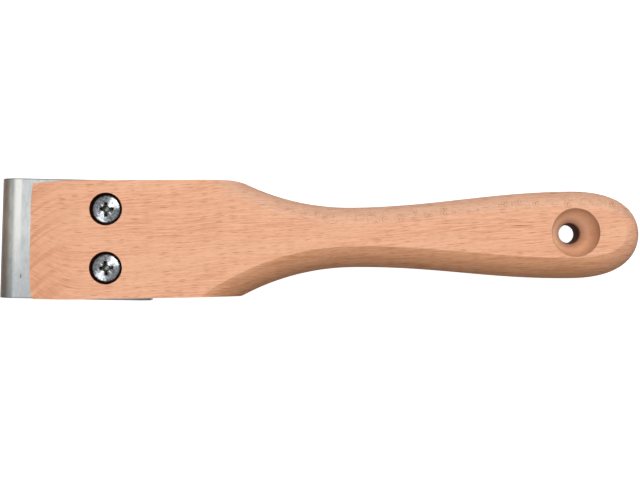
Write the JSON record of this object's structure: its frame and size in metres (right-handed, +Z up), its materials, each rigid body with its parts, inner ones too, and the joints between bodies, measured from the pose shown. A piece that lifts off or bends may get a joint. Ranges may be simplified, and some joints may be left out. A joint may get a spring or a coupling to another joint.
{
  "type": "pull scraper",
  "caption": "Pull scraper: a shaped wooden handle with a bored hanging hole, and a bent steel blade bolted under its square head for scraping glue, paint or finish off wood.",
  "frame": {"origin": "on the axis of the hanging hole, in the plane of the handle's underside, where its bore opens", "axes": "+X along the handle from the blade to the end of the grip, +Y to the user's right with the blade pointing away, +Z up out of the handle's top, where the screw heads are"},
  "size_m": [0.2823, 0.0553, 0.031],
  "materials": {
    "beech": "sanded bare beech",
    "blade_steel": "galvanised sheet, mottled",
    "screw_zinc": "bright zinc plate, lathe-turned head",
    "zinc": "bright zinc plate"
  },
  "bodies": {
    "handle": {"handle": "beech"},
    "blade": {"blade": "blade_steel"},
    "left_screw": {"left_screw": "screw_zinc"},
    "right_screw": {"right_screw": "screw_zinc"},
    "left_washer": {"left_washer": "zinc"},
    "right_washer": {"right_washer": "zinc"},
    "left_nut": {"left_nut": "zinc"},
    "right_nut": {"right_nut": "zinc"}
  },
  "joints": [
    {"name": "blade_pivot", "type": "hinge", "parent": "handle", "child": "blade", "pos_m": [-0.1998, -0.0002, -0.00075], "axis": [0, 0, 1], "range_deg": [-1.1, 3.7]},
    {"name": "right_screw_turn", "type": "hinge", "parent": "handle", "child": "right_screw", "pos_m": [-0.19969, 0.0123, 0.0154], "axis": [0, 0, 1], "continuous": true},
    {"name": "right_washer_drop", "type": "slide", "parent": "handle", "child": "right_washer", "axis": [0, 0, -1], "range_m": [0, 0.005]},
    {"name": "right_nut_turn", "type": "hinge", "parent": "right_washer", "child": "right_nut", "pos_m": [-0.19969, 0.0123, -0.0056], "axis": [0, 0, -1], "range_deg": [0, 1800]},
    {"name": "left_screw_turn", "type": "hinge", "parent": "handle", "child": "left_screw", "pos_m": [-0.19991, -0.0127, 0.0154], "axis": [0, 0, 1], "continuous": true},
    {"name": "left_washer_drop", "type": "slide", "parent": "handle", "child": "left_washer", "axis": [0, 0, -1], "range_m": [0, 0.005]},
    {"name": "left_nut_turn", "type": "hinge", "parent": "left_washer", "child": "left_nut", "pos_m": [-0.19991, -0.0127, -0.0056], "axis": [0, 0, -1], "range_deg": [0, 1800]}
  ],
  "couplings": [
    {"joint": "right_nut_turn", "follows": "right_washer_drop", "rad_per_m": 6283.2},
    {"joint": "left_nut_turn", "follows": "left_washer_drop", "rad_per_m": 6283.2}
  ]
}
